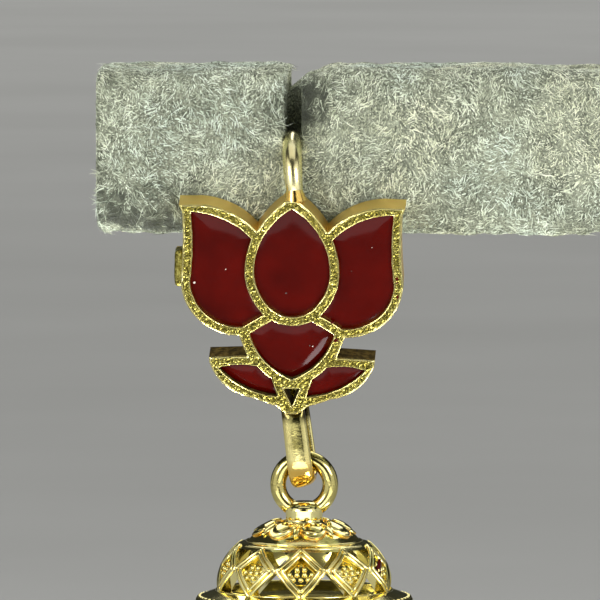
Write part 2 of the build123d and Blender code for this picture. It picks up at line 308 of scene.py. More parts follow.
cover_grid = shape_cover(cover_surface())
cover = grid_mesh("bar_cover", cover_grid, close_columns=True)
backing, tree, shader, place = new_material("velvet_backing", Roughness=0.95)
# The dark knots of the weave paint the shade between the fibres, mixed with a random tone.
clouds, knots = noise(tree, place, CLOUDS, 3), noise(tree, place, KNOTS, 3)
patchy = calc(tree, "MULTIPLY_ADD", clouds, CLOUD_SHARE, knots)
woven = ramp(tree, between(tree, patchy, 0.5, 0.9), (0, WEAVE_SHADE_DARK), (1, PALE_WEAVE))
# Under the stains and the painted shade the backing is painted darker.
stain_and_shade = add(tree, "Attribute", attribute_name="tone").outputs["Fac"]
kept = between(tree, stain_and_shade, 0.2, 1.0, 0.12, 1.0)
feed(tree, shader, "Base Color", blend_colour(tree, kept, STAIN_AND_SHADE_DARK, woven))
finish_piece(cover, "root", backing, ["display_bar"])

# ---- core in the slit ----
# The foam left whole under the hook's arch, with the same velvet on it. It is level with the
# bar in front and below, and its top is rounded for the arch to hang over.

CORE_R = 2.55
CORE_Z = -2.9
CORE_OVERLAP = 0.06


def core_surface():
    """Rows along X of the bar's own section, held behind the round back and under the round
    top. The end rows shrink to the middle."""
    y, z = cover_section(0.0, bar_high[2], (60, 8, 30, 60)).T
    y = np.minimum(y, CORE_R)
    z = np.minimum(z, CORE_Z + (CORE_R**2 - y**2) ** 0.5)
    middle = np.array([y.mean(), z.mean()])
    along = np.linspace(SLIT_LEFT - CORE_OVERLAP, SLIT_RIGHT + CORE_OVERLAP, 7)
    along = np.concatenate([along[:1], along[:1], along, along[-1:], along[-1:]])
    share = np.array([0, 0.5] + [1] * 7 + [0.5, 0])[:, None]
    y, z = middle[0] + share * (y - middle[0]), middle[1] + share * (z - middle[1])
    return np.stack([np.broadcast_to(along[:, None], y.shape), y, z], -1)


core_grid = core_surface()
core = grid_mesh("bar_core", core_grid, close_columns=True)
finish_piece(core, "root", backing)

# ---- velvet pile ----
# Matted fibres about a millimetre long, brushed mostly downwards, in tufts that turn every way. Each is a
# tapered, curling strip. Handling has left stains at a few places. Painted shade darkens the pile by the
# slit and the hook, behind the plaque's top and along the bar's bottom, and each fibre is painted darker
# towards its root.

FIBRE_LONG, FIBRE_WIDE = 0.86, 0.070
FIBRE_SHORT = 0.3
FIBRE_SINK = 0.05
LOOSE_SHARE, LOOSE_LONG = 0.12, 1.25
LAY, LIP_LAY = np.array([0.12, -0.45, -1.0]), np.array([-1.3, 0.0, 0.0])
LIP_REACH = 1.5
END_FROM = 12.0
# Real stains, such as the brownish spots at the top left, and painted shade: the dark places by the slit
# and the hook, behind the plaque's top and along the bar's bottom.
STAINS_AND_SHADE = (
    # x, y, z, reach, how much of the lightness is left
    (-13.5, -1.4, 4.9, 1.1, 0.55),
    (-12.2, -1.4, 5.2, 0.8, 0.60),
    (-13.1, -1.4, -4.3, 2.4, 0.34),
    (-9.4, -1.2, -6.3, 4.6, 0.20),
    (-12.6, -1.2, -6.3, 3.6, 0.32),
    (-14.6, -1.4, 2.2, 2.2, 0.72),
    (-14.6, -1.4, -1.8, 2.2, 0.70),
    (-6.6, -1.4, 2.9, 1.5, 0.72),
    (-4.2, -1.4, 4.2, 1.8, 0.70),
    (-1.6, -1.4, 5.4, 0.9, 0.75),
    (-1.8, -1.4, 2.7, 1.2, 0.45),
    (-0.8, -1.0, 1.6, 1.4, 0.50),
    (0.9, -1.2, 4.2, 2.8, 0.10),
    (1.2, -1.2, 2.0, 2.7, 0.16),
    (2.4, -1.4, -4.9, 1.9, 0.55),
    (4.4, -1.4, 4.0, 0.9, 0.72),
    (12.0, -1.2, -6.4, 7.5, 0.70),
    (21.0, -1.2, -6.4, 4.5, 0.70),
)


def set_points(mesh, name, values):
    """Keeps one number on every point of a mesh."""
    made = mesh.attributes.new(name, "FLOAT", "POINT")
    made.data.foreach_set("value", np.asarray(values, np.float32))


def stained_and_shaded(place):
    """The share of lightness that the stains and the painted shade leave at places, with ragged edges."""
    left = np.ones(len(place))
    for *spot, reach, left_over in STAINS_AND_SHADE:
        away = np.linalg.norm(place - spot, axis=1) / reach + 0.22 * wander(place, 1.3, 27)
        left *= 1 - (1 - left_over) * (1 - smooth_step(away))
    return left


def on_left(place):
    """True where a place lies left of the slit's middle."""
    return place[..., 0] < 0


def at_end(place):
    """True where a place lies on the bar's right end part."""
    return place[..., 0] >= END_FROM


def in_front(normal):
    """True where a face looks to the front."""
    return normal[..., 1] < -0.35


def grow_fibres(name, root, up, rng, steps):
    """Strips that grow from their roots along the lay, a tangent turned from straight down by slow and
    quick noise, and lift and curl on the way. On the slit's right lip the lay leans over the slit. A
    strip is square to the lay and narrows to a point. Its tone falls towards the root, a painted shade,
    and inside the stains and the painted shade."""
    count = len(root)
    x, y, z = root.T
    on_lip = smooth_step(SLIT_RIGHT + LIP_REACH - x) * (x > SLIT_RIGHT - 0.1)
    down = LAY + on_lip[:, None] * LIP_LAY
    down = unit(down - (up * down).sum(-1, keepdims=True) * up)
    side = np.cross(up, down)
    turned = 1.1 * wander(root, 5.5, 21) + 0.7 * wander(root, 1.5, 22) + rng.normal(0, 0.3, count)
    curl = rng.normal(0, 0.7, count) + 0.8 * wander(root, 2.2, 23)
    loose = rng.random(count) < LOOSE_SHARE
    lift = np.clip(rng.normal(0.42, 0.22, count) + 0.16 * wander(root, 1.1, 24), 0.04, 1.2)
    lift = np.where(loose, rng.uniform(0.8, 1.4, count), lift)
    in_slit = (x > SLIT_LEFT - 0.05) & (x < SLIT_RIGHT + 0.05) & ((y > -1.1) | (z > -1.4))
    size = FIBRE_LONG * rng.uniform(0.5, 1.3, count) * np.where(loose, LOOSE_LONG, 1)
    size *= np.where(in_slit & (y < SLIT_BACK + 0.1), FIBRE_SHORT, 1)
    way = np.linspace(0, 1, steps + 1)[None, :, None]
    angle = turned[:, None, None] + curl[:, None, None] * way / 2
    lay = np.cos(angle) * down[:, None] + np.sin(angle) * side[:, None]
    rise = np.sin(lift)[:, None, None] * (way - 0.4 * way**2)
    flat = np.cos(lift)[:, None, None] * way
    line = root[:, None] + size[:, None, None] * (flat * lay + rise * up[:, None])
    line = line - FIBRE_SINK * up[:, None]
    tilt = 0.5 * rng.normal(size=(count, 1, 1))
    across = unit(np.cross(lay, up[:, None]) + tilt * up[:, None])
    wide = FIBRE_WIDE * rng.uniform(0.55, 1.25, (count, 1, 1)) * (1 - 0.72 * way)
    edges = np.stack([line - across * wide / 2, line + across * wide / 2], 2)
    points = np.concatenate([edges[:, :-1].reshape(count, -1, 3), line[:, -1:]], 1)
    first = np.arange(count)[:, None] * (2 * steps + 1)
    quads = [first + 2 * step + np.array([0, 1, 3, 2]) for step in range(steps - 1)]
    tips = first + 2 * steps + np.array([-2, -1, 0])
    mesh = bpy.data.meshes.new(name)
    faces = [face for group in (*quads, tips) for face in group.tolist()]
    mesh.from_pydata((points.reshape(-1, 3) * MM).tolist(), [], faces)
    shade = rng.beta(2.4, 1.3, count) + 0.09 * wander(root, 1.6, 25) + 0.05 * wander(root, 6, 26)
    # The tone is painted darker towards each fibre's root, a painted shade.
    tone = (shade * stained_and_shaded(root))[:, None] * (0.66 + 0.34 * np.repeat(way[0, :, 0], 2)[:-1])
    set_points(mesh, "tone", np.clip(tone, 0, 1).ravel())
    finish_piece(link_piece(name, mesh), "root", fibre)


def pile(name, grid, chosen, count, seed, steps):
    """Grows fibres on the grid's quads that are chosen by place and normal. A root is a
    random place in a quad, and quads are picked by area."""
    rng = np.random.default_rng(seed)
    shut = np.concatenate([grid, grid[:, :1]], 1)
    corners = [shut[:-1, :-1], shut[1:, :-1], shut[1:, 1:], shut[:-1, 1:]]
    a, b, c, d = corners
    normal = np.cross(d - b, c - a)
    area = np.linalg.norm(normal, axis=-1) / 2
    normal = unit(normal)
    weight = np.where(chosen(sum(corners) / 4, normal), area, 0).ravel()
    pick = rng.choice(weight.size, count, p=weight / weight.sum())
    s, t = rng.random((2, count, 1))
    a, b, c, d = (corner.reshape(-1, 3)[pick] for corner in corners)
    root = (1 - s) * (1 - t) * a + s * (1 - t) * b + s * t * c + (1 - s) * t * d
    grow_fibres(name, root, normal.reshape(-1, 3)[pick], rng, steps)


PILE_TONES = (
    (0.0, (0.025, 0.028, 0.018)),
    (0.12, (0.09, 0.10, 0.07)),
    (0.3, (0.38, 0.41, 0.305)),
    (0.6, (0.79, 0.83, 0.69)),
    (1.0, (0.97, 0.98, 0.92)),
)
COOL_TINT, WARM_TINT = (0.93, 1.0, 1.0), (1.0, 0.99, 0.88)
fibre, tree, shader, place = new_material("velvet_fibre", Roughness=0.7, Sheen_Weight=0.2)
tone = add(tree, "Attribute", attribute_name="tone").outputs["Fac"]
drift = between(tree, noise(tree, place, 6.5, 2), 0.38, 0.62)
tint = blend_colour(tree, drift, COOL_TINT, WARM_TINT)
dyed = blend_colour(tree, 1.0, ramp(tree, tone, *PILE_TONES), tint, "MULTIPLY")
feed(tree, shader, "Base Color", dyed)

# The cover and the core carry the stains and the painted shade in their tone too.
for backed in (cover, core):
    corners = np.empty(3 * len(backed.data.vertices))
    backed.data.vertices.foreach_get("co", corners)
    set_points(backed.data, "tone", stained_and_shaded(corners.reshape(-1, 3) / MM))

for name, grid, chosen, count, seed, steps in (
    ("pile_front_left", cover_grid, lambda p, n: on_left(p) & in_front(n), 34000, 1, 3),
    ("pile_front_right", cover_grid, lambda p, n: ~on_left(p) & ~at_end(p) & in_front(n), 30000, 2, 3),
    ("pile_front_end", cover_grid, lambda p, n: at_end(p) & in_front(n), 26000, 3, 3),
    ("pile_rest_left", cover_grid, lambda p, n: on_left(p) & ~in_front(n), 30000, 4, 2),
    ("pile_rest_right", cover_grid, lambda p, n: ~on_left(p) & ~in_front(n), 42000, 5, 2),
    ("pile_core", core_grid, lambda p, n: n[..., 0] ** 2 < 0.5, 6000, 6, 3),
):
    pile(name, grid, chosen, count, seed, steps)

# ---- gold ----
# Every metal part is gilt brass, a pale lemon gold. It is polished by hand, so the shine is cloudy, with
# fine pits. Where gold mirrors gold it looks amber, and in places that amber is painted into the colour,
# a painted reflection.

GOLD = (0.90, 0.81, 0.36)
# Amber is a painted reflection of gold in gold.
AMBER_REFLECTION = (0.90, 0.56, 0.11)
# Real grime on the casting stub and the strap's worn spot, and painted shade in the rims' pits and inside
# the bell.
GRIME_AND_SHADE = (0.13, 0.11, 0.02)
# Paints the plaque's shadow on the strap's top, and darkens the walls of the leaves.
DARK_BROWN = (0.04, 0.03, 0.01)


def gold(name, roughness=0.14, pits=0.004, colour=GOLD):
    """Gilt brass: cloudy roughness, a little drift in colour, and a bump of fine pits whose
    height is in millimetres. Returns the material, its tree, its shader and its coordinates."""
    made, tree, shader, place = new_material(name, Metallic=1.0, Roughness=roughness)
    worn = tuple(part * share for part, share in zip(colour, (0.92, 0.87, 0.74)))
    feed(tree, shader, "Base Color", ramp(tree, noise(tree, place, 3.0), (0.35, worn), (0.6, colour)))
    rough = between(tree, noise(tree, place, 1.1, 4), 0.3, 0.7, roughness * 0.65, roughness * 1.5)
    feed(tree, shader, "Roughness", rough)
    height = calc(tree, "ADD", noise(tree, place, 0.16, 3), noise(tree, place, 0.9, 2))
    bump = add(tree, "Bump", {"Height": height, "Distance": pits * MM, "Strength": 1.0})
    feed(tree, shader, "Normal", bump.outputs["Normal"])
    return made, tree, shader, place


def fed_by(shader, key):
    """The output that a shader's socket is linked to."""
    return shader.inputs[key].links[0].from_socket


def over_colour(tree, shader, share, colour):
    """Lays a second colour over a shader's own by a share."""
    feed(tree, shader, "Base Color", blend_colour(tree, share, fed_by(shader, "Base Color"), colour))


# ---- lotus plaque ----
# A cast plate that leans forward at the top, with six cells for enamel. The hook is soldered
# to its top tip. Its front is polished, and its walls are satin from the mould.

PLATE_AT = np.array([0.13, -3.33, -3.51])
PLATE_LEAN = np.radians(18.0)
PLATE_TURN = np.radians(-1.0)
HOOK_FOOT = np.array([0.3, -3.6, -3.75])
LEAF_TOP = -11.6
# limits between which a finish comes in: out from the plate's middle, down, from the foot; the walls'
# amber is painted reflection, the foot's painted shade
WALL_HALF, WALL_TOP = (1.3, 1.2), (0.1, 0.0)
FOOT_SHADE_REACH = (1.05, 0.75)

plate_out = np.array([0, -np.cos(PLATE_LEAN), -np.sin(PLATE_LEAN)])
plate_flat = np.array([1.0, 0, 0])
plate_x = np.cos(PLATE_TURN) * plate_flat + np.sin(PLATE_TURN) * np.cross(plate_out, plate_flat)
plate_y = np.cross(plate_out, plate_x)


def dress(name, material):
    """Gives a CAD node a material in place of its plain one."""
    slots = nodes[name].data.materials
    slots.clear()
    slots.append(material)


def within(tree, measure, limits, share=1.0):
    """Rises from 0 to a share as a length goes between two limits in millimetres."""
    start, end = limits
    return between(tree, measure, start * MM, end * MM, 0.0, share)


def over_rough(tree, shader, share, more):
    """Adds to a shader's own roughness by a share, up to 1."""
    added = calc(tree, "MULTIPLY", share, more)
    feed(tree, shader, "Roughness", calc(tree, "ADD", fed_by(shader, "Roughness"), added, clamp=True))


def far_from(tree, place, spot):
    """How far a place lies from a spot that is given in millimetres."""
    inputs = {0: place, 1: tuple(spot * MM)}
    return add(tree, "VectorMath", inputs, operation="DISTANCE").outputs["Value"]


def dot_product(tree, first, second):
    """The dot product of two vectors."""
    return add(tree, "VectorMath", {0: first, 1: second}, operation="DOT_PRODUCT").outputs["Value"]


def own_normal(tree):
    """The surface's normal in the piece's own frame, which turns with the piece."""
    return add(tree, "TexCoord").outputs["Normal"]


def on_plate(x, y, out):
    """Points from the plaque's own x and y, from its top tip, and how far out they stand."""
    x, y, out = (np.asarray(part, float)[..., None] for part in (x, y, out))
    return PLATE_AT + x * plate_x + y * plate_y + out * plate_out


def from_tip(tree, place, way):
    """How far a place lies from the plate's top tip along a way."""
    along = dot_product(tree, place, tuple(way))
    return calc(tree, "SUBTRACT", along, float(PLATE_AT @ way) * MM)


def gold_plaque():
    """Gold that is satin on the plate's walls, where the normal lies in the plate's plane, below the top
    tip and within its thickness, with a painted amber reflection there, and an amber painted shade at the
    hook's foot. The walls of the leaves are darker and rougher."""
    made, tree, shader, place = gold("gold_plaque", 0.12)
    facing = calc(tree, "ABSOLUTE", dot_product(tree, own_normal(tree), tuple(plate_out)))
    wall = between(tree, facing, 0.45, 0.25)
    for way, limits in ((plate_out, WALL_HALF), (-plate_out, WALL_HALF), (plate_y, WALL_TOP)):
        wall = calc(tree, "MULTIPLY", wall, within(tree, from_tip(tree, place, way), limits))
    over_rough(tree, shader, wall, 0.22)
    # Painted amber: a painted reflection on the walls, and painted shade at the hook's foot.
    foot_shade = within(tree, far_from(tree, place, HOOK_FOOT), FOOT_SHADE_REACH, 0.8)
    over_colour(tree, shader, calc(tree, "MAXIMUM", calc(tree, "MULTIPLY", wall, 0.7), foot_shade), AMBER_REFLECTION)
    # The walls of the leaves are darker and rougher.
    on_leaves = within(tree, from_tip(tree, place, plate_y), (LEAF_TOP, LEAF_TOP - 0.5))
    dark_walls = calc(tree, "MULTIPLY", wall, on_leaves)
    uneven = between(tree, noise(tree, place, 0.35, 3), 0.35, 0.6, 0.84, 0.98)
    over_colour(tree, shader, calc(tree, "MULTIPLY", dark_walls, uneven), DARK_BROWN)
    over_rough(tree, shader, dark_walls, 0.7)
    return made


dress("lotus_casting", gold_plaque())

# ---- hook's swell ----
# The hook's wire was left a little thicker over the arch's front, where it is seen most.

HOOK_R, HOOK_ARCH_Z, HOOK_TILT = 3.5, -2.9, np.radians(-5.0)
HOOK_WIRE_R, HOOK_SWELL = 0.59, 0.135
SWELL_FROM, SWELL_SPAN = -0.12, 1.6
WIRE_GOLD = (0.95, 0.88, 0.50)


def turned_about(points, axis, angle):
    """Points turned about the X, Y or Z axis, number 0, 1 or 2, by the right-hand rule."""
    first, second = points[..., (axis + 1) % 3], points[..., (axis + 2) % 3]
    moved = points.copy()
    moved[..., (axis + 1) % 3] = np.cos(angle) * first - np.sin(angle) * second
    moved[..., (axis + 2) % 3] = np.sin(angle) * first + np.cos(angle) * second
    return moved


def swell_grid(rows=60, sides=32):
    """A tube over the arch's front quarter, whose radius swells by a half wave."""
    share = np.linspace(0, 1, rows)
    angle = (SWELL_FROM + SWELL_SPAN * share)[:, None]
    turn = np.linspace(0, 2 * np.pi, sides + 1)[:-1]
    radius = HOOK_WIRE_R + HOOK_SWELL * np.sin(np.pi * share[:, None]) ** 0.8
    reach = HOOK_R + radius * np.cos(turn)
    grid = [radius * np.sin(turn), -reach * np.cos(angle), HOOK_ARCH_Z + reach * np.sin(angle)]
    return turned_about(np.stack(grid, -1), 1, HOOK_TILT)


wire, *_ = gold("gold_wire", 0.22, 0.003, WIRE_GOLD)
finish_piece(grid_mesh("hook_swell", swell_grid(), close_columns=True), "root", wire)

# ---- cells of the plaque ----
# Six cells hold the enamel: a teardrop, two side petals, a shield and two leaves. The rims
# between them are all of one width, and each follows the cell that lies in front.

RIM_WIDTH = 0.68
DROP_WIDE, DROP_POINT = (2.81, -5.7), -0.63
DROP_FOOT, FOOT_R = -9.24, 2.3
upper_x = (DROP_WIDE[0] ** 2 - (DROP_POINT - DROP_WIDE[1]) ** 2) / (2 * DROP_WIDE[0])
foot_rise = DROP_WIDE[1] - DROP_FOOT - FOOT_R
foot_in = DROP_WIDE[0] - FOOT_R
lower_x = (foot_in**2 - foot_rise**2) / (2 * foot_in)
lower_turn = np.arctan2(foot_rise, -lower_x)


def circle_through(a, b, c):
    """The centre and radius of the circle through three points of a plane."""
    a, b, c = (np.array(point, float) for point in (a, b, c))
    sides = 2 * np.array([b - a, c - a])
    centre = np.linalg.solve(sides, np.array([b @ b - a @ a, c @ c - a @ a]))
    return centre, np.linalg.norm(centre - a)


def off_circle(x, y, centre, radius):
    """Distance outside a circle."""
    return np.hypot(x - centre[0], y - centre[1]) - radius


def off_teardrop(x, y):
    """Distance outside the middle petal: two arcs that meet at the point, two on down from
    the widest place, and a round foot."""
    x = np.abs(x)
    upper = off_circle(x, y, (upper_x, DROP_WIDE[1]), DROP_WIDE[0] - upper_x)
    lower = off_circle(x, y, (lower_x, DROP_WIDE[1]), DROP_WIDE[0] - lower_x)
    foot = off_circle(x, y, (0, DROP_FOOT + FOOT_R), FOOT_R)
    turned = np.arctan2(DROP_WIDE[1] - y, x - lower_x)
    return np.where(y > DROP_WIDE[1], upper, np.where(turned < lower_turn, lower, foot))


shoulder_way = np.array([3.15, -2.0]) / np.hypot(3.15, 2.0)
flank = circle_through((3.15, -10.6), (2.41, -12.3), (0, -14.24))
petal_top = circle_through((2.2, -4.2), (4.5, -1.83), (7.52, -0.99))
petal_wall = circle_through((7.52, -0.99), (7.36, -3.4), (7.55, -6.5))
petal_foot = circle_through((7.55, -6.5), (3.92, -10.13), (0.29, -6.5))
leaf_top = circle_through((1.75, -13.45), (3.7, -13.1), (5.48, -13.4))
leaf_foot = circle_through((5.48, -13.4), (3.75, -14.82), (1.04, -15.6))
stem_way = np.array([-2.15, 0.71]) / np.hypot(2.15, 0.71)


def off_shoulder(x, y):
    """Distance above the shield's straight shoulders."""
    return -np.abs(x) * shoulder_way[1] + (y + 8.6) * shoulder_way[0]


def off_shield(x, y):
    """Distance outside the shield cell, which the middle petal's rim overlaps."""
    sides = off_circle(np.abs(x), y, *flank)
    return np.maximum.reduce([off_shoulder(x, y), sides, RIM_WIDTH - off_teardrop(x, y)])


def off_petal(x, y):
    """Distance outside the right side petal's cell."""
    foot = np.where(y < -6.5, off_circle(x, y, *petal_foot), -9)
    near = [RIM_WIDTH - off_teardrop(x, y), RIM_WIDTH - off_shoulder(x, y)]
    return np.maximum.reduce([off_circle(x, y, *petal_top), -off_circle(x, y, *petal_wall), foot, *near])


def off_leaf(x, y):
    """Distance outside the right leaf's cell, which a straight line closes by the stem."""
    stem = (x - 1.75) * stem_way[0] + (y + 13.45) * stem_way[1]
    near = np.maximum(RIM_WIDTH - off_circle(x, y, *flank), stem)
    return np.maximum.reduce([off_circle(x, y, *leaf_top), off_circle(x, y, *leaf_foot), near])


CELLS = {
    # node: (distance function, a middle that sees the whole edge, side)
    "enamel_teardrop": (off_teardrop, (0, -5.8), 1),
    "enamel_petal_left": (off_petal, (5.7, -6.0), -1),
    "enamel_petal_right": (off_petal, (5.7, -6.0), 1),
    "enamel_shield": (off_shield, (0, -11.2), 1),
    "enamel_leaf_left": (off_leaf, (3.4, -14.1), -1),
    "enamel_leaf_right": (off_leaf, (3.4, -14.1), 1),
}


def cell_edge(cell, level, turns=240):
    """The closed line on which a cell's distance function has the level: the radius at each
    angle about the cell's middle, found by halving a bracket twenty-five times."""
    distance, middle, side = cell
    angle = np.arange(turns) * 2 * np.pi / turns
    near, far = np.zeros(turns), np.full(turns, 9.0)
    for _ in range(25):
        radius = (near + far) / 2
        outside = distance(middle[0] + radius * np.cos(angle), middle[1] + radius * np.sin(angle)) > level
        near, far = np.where(outside, near, radius), np.where(outside, radius, far)
    return middle[0] + near * np.cos(angle), middle[1] + near * np.sin(angle)


# ---- rims of the plaque ----
# The rims' sunk floors were struck with a stippling punch. A polished bead runs along their
# outer edge, and a finer one round each cell holds the enamel in.

FLOOR_TOP = 0.94
STIPPLE_STEP, STIPPLE_DEEP, STIPPLE_THICK = 0.062, 0.155, 0.05
STIPPLE_LIFT = 0.012
STIPPLE_GOLD = (0.30, 0.27, 0.072)
BEAD_GOLD = (0.62, 0.56, 0.23)
OUTER_BEAD_R, OUTER_BEAD_IN = 0.09, 0.08
INNER_BEAD_R, INNER_BEAD_OFF = 0.055, 0.045
HOLE_BEAD_R = 0.045
OUTLINE = (
    # the right half, from the top tip down: each stroke starts where the last ended, and is a
    # line to one point or an arc through one point to another
    ((0, 0),),
    ((0.5, -0.1),),
    ((1.68, -1.2), (2.61, -2.48)),
    ((4.52, -1.02), (6.74, -0.45)),
    ((8.35, -0.5),),
    ((8.1, -1.05),),
    ((8.06, -3.8), (8.22, -6.5)),
    ((6.96, -9.54), (3.92, -10.8)),
    ((3.3, -12.42),),
    ((6.15, -12.56),),
    ((6.12, -12.95),),
    ((5.0, -14.75), (2.9, -15.76)),
    ((1.13, -16.4),),
    ((0.43, -17.0),),
    ((0, -17.0),),
)
HOLE = ((-0.67, -14.93), (0.67, -14.93), (0, -16.47))
MIRRORED = np.array([-1.0, 1.0])


def trace_stroke(stroke, step=0.11):
    """Even points along a line, or along an arc through three points, without the last."""
    points = np.array(stroke, float)
    if len(points) == 2:
        count = max(int(np.linalg.norm(points[1] - points[0]) / step), 1)
        return points[0] + np.arange(count)[:, None] / count * (points[1] - points[0])
    centre, radius = circle_through(*points)
    angles = np.unwrap(np.arctan2(*(points - centre).T[::-1]))
    count = int(radius * abs(angles[2] - angles[0]) / step)
    angle = np.linspace(angles[0], angles[2], count + 1)[:-1]
    return centre + radius * np.stack([np.cos(angle), np.sin(angle)], -1)


strokes = [trace_stroke((last[-1], *stroke)) for last, stroke in zip(OUTLINE, OUTLINE[1:])]
right_half = np.concatenate(strokes + [np.array(OUTLINE[-1])])
outline = np.concatenate([right_half, right_half[-2:0:-1] * MIRRORED])
hole_line = np.concatenate([trace_stroke((a, b)) for a, b in zip(HOLE, HOLE[1:] + HOLE[:1])])


def off_line(points, line):
    """Signed distance outside a closed line: the least distance to its spans, with the sign
    from counting the spans that a ray to the right crosses."""
    start, end = line, np.roll(line, -1, 0)
    span = end - start
    to = points[:, None] - start
    share = np.clip((to * span).sum(-1) / (span * span).sum(-1), 0, 1)
    distance = np.linalg.norm(to - share[..., None] * span, axis=-1).min(1)
    x, y = points[:, :1], points[:, 1:]
    straddles = (start[:, 1] > y) != (end[:, 1] > y)
    rise = np.where(span[:, 1] == 0, 1, span[:, 1])
    crosses = straddles & (x < start[:, 0] + (y - start[:, 1]) / rise * span[:, 0])
    return np.where(crosses.sum(1) % 2, -distance, distance)


def move_in(line, distance):
    """A closed line moved to the inside, along the bisector at each point."""
    tangent = unit(np.roll(line, -1, 0) - np.roll(line, 1, 0))
    return line + distance * np.stack([tangent[:, 1], -tangent[:, 0]], -1)


def stipple_floor():
    """A grid over the plaque, kept where it lies on the rims' floors. Heights are random and smoothed
    once with their neighbours; their depth is kept for the painted shade in the pits."""
    rng = np.random.default_rng(51)
    x = np.arange(-8.5, 8.5, STIPPLE_STEP)
    y = np.arange(-17.1, 0.1, STIPPLE_STEP)
    x, y = np.meshgrid(x, y)
    rough = rng.random(x.shape)
    for axis in (0, 1):
        rough = 0.6 * rough + 0.2 * (np.roll(rough, 1, axis) + np.roll(rough, -1, axis))
    rough = np.clip(0.5 + 2.0 * (rough - 0.5), 0, 1)
    to_cells = np.minimum.reduce([cell[0](side * x, y) for cell in CELLS.values() for side in (1, -1)])
    maybe = (to_cells > 0.02) & (to_cells < 1.6)
    points = np.stack([x[maybe], y[maybe]], -1)
    inside = np.zeros(x.shape, bool)
    inside[maybe] = (off_line(points, outline) < -0.08) & (off_line(points, hole_line) > 0.03)
    whole = inside[:-1, :-1] & inside[1:, :-1] & inside[1:, 1:] & inside[:-1, 1:]
    index = np.arange(x.size).reshape(x.shape)
    quads = np.stack([index[:-1, :-1], index[:-1, 1:], index[1:, 1:], index[1:, :-1]], -1)[whole]
    used, quads = np.unique(quads, return_inverse=True)
    rough = rough.ravel()[used]
    wave = 0.02 * wander(np.stack([x, y, 0 * x], -1), 0.9, 52).ravel()[used]
    height = FLOOR_TOP + STIPPLE_LIFT + wave * wave + STIPPLE_DEEP * rough
    points = on_plate(x.ravel()[used], y.ravel()[used], height)
    mesh = bpy.data.meshes.new("rim_stipple")
    mesh.from_pydata((points * MM).tolist(), [], quads.reshape(-1, 4).tolist())
    set_points(mesh, "rough", rough)
    return link_piece("rim_stipple", mesh)


def tube(path, radius, out, sides=8):
    """A ring of points round each point of closed paths. A ring's first arm stands out, and
    its second is the tangent crossed with that."""
    tangent = unit(np.roll(path, -1, -2) - np.roll(path, 1, -2))
    across = unit(np.cross(tangent, out))
    rise = np.cross(across, tangent)
    angle = 2 * np.pi * np.arange(sides)[:, None] / sides
    ring = np.cos(angle) * rise[..., None, :] + np.sin(angle) * across[..., None, :]
    return path[..., None, :] + np.asarray(radius)[..., None, None] * ring


def hand_cut(line, radius, height, seed):
    """A bead along a closed line of the plaque, a little uneven in its width and its run."""
    path = on_plate(*line.T, np.full(len(line), height))
    uneven = 1 + 0.16 * wander(path, 1.1, seed)
    drift = 0.018 * wander(path, 1.7, seed + 1)[:, None] * plate_x
    return tube(path + drift, radius * uneven, plate_out)


stippled, tree, shader, place = gold("gold_stippled", 0.19, 0.006, STIPPLE_GOLD)
# The low places of the stipple are painted dark, a painted shade in the pits.
pits = between(tree, add(tree, "Attribute", attribute_name="rough").outputs["Fac"], 0.70, 0.50)
over_colour(tree, shader, pits, GRIME_AND_SHADE)
stipple = stipple_floor()
thick = stipple.modifiers.new("thick", "SOLIDIFY")
thick.thickness = STIPPLE_THICK * MM
thick.offset = -1
finish_piece(stipple, "root", stippled)

beaded, *_ = gold("gold_beaded", 0.14, 0.003, BEAD_GOLD)
outer_bead = hand_cut(move_in(outline, OUTER_BEAD_IN), OUTER_BEAD_R, 0.96, 53)
inner_beads = []
for cell in CELLS.values():
    line = np.stack(cell_edge(cell, INNER_BEAD_OFF), -1) * [cell[2], 1]
    inner_beads.append(hand_cut(line, INNER_BEAD_R, 0.985, 55))
hole_bead = hand_cut(hole_line[::-1], HOLE_BEAD_R, 0.97, 57)
for name, beads in (
    ("rim_outer_bead", outer_bead),
    ("rim_inner_beads", np.array(inner_beads)),
    ("rim_hole_bead", hole_bead),
):
    finish_piece(grid_mesh(name, beads, True, True), "root", beaded)

# ---- casting stub ----
# The rough end of the casting gate, clipped off on the plaque's left wall and left unfiled.

STUB_AT, STUB_HALF = (-8.15, -5.75, -0.1), (0.57, 1.44, 0.82)


def lumps(places, halves, frame_ways, wobble, seed, rows=9, columns=12, power=2):
    """Closed lumps: balls stretched by their half sizes along three ways, with noise on their
    radius. On a ball the powers of the three parts add up to one: 2 is round, 8 nearly a box."""
    rise = np.linspace(0, np.pi, rows)[:, None]
    turn = np.linspace(0, 2 * np.pi, columns + 1)[:-1]
    level = np.sin(rise)
    ball = np.broadcast_arrays(level * np.cos(turn), level * np.sin(turn), np.cos(rise))
    ball = np.stack(ball, -1)
    ball /= (np.abs(ball) ** power).sum(-1, keepdims=True) ** (1 / power)
    shape = (ball * np.asarray(halves, float)[..., None, None, :]) @ np.asarray(frame_ways, float)
    grown = 1 + wobble * wander(shape + np.asarray(places, float)[..., None, None, :], 1.0, seed)
    return np.asarray(places, float)[..., None, None, :] + shape * grown[..., None]


plate_ways = (plate_x, plate_y, plate_out)
stub_grid = lumps(on_plate(*STUB_AT), STUB_HALF, plate_ways, 0.04, 61, 25, 32, 8)
stub = grid_mesh("casting_stub", stub_grid, close_columns=True)
cast, tree, shader, place = gold("gold_cast", 0.32, 0.05, STIPPLE_GOLD)
over_colour(tree, shader, between(tree, noise(tree, place, 0.3, 3), 0.42, 0.56), GRIME_AND_SHADE)
finish_piece(stub, "root", cast)

# ---- enamel ----
# Each cell is flooded with deep red glassy enamel, flat in the middle and rounded down at the
# edge where it pulled back from the rim as it cooled.

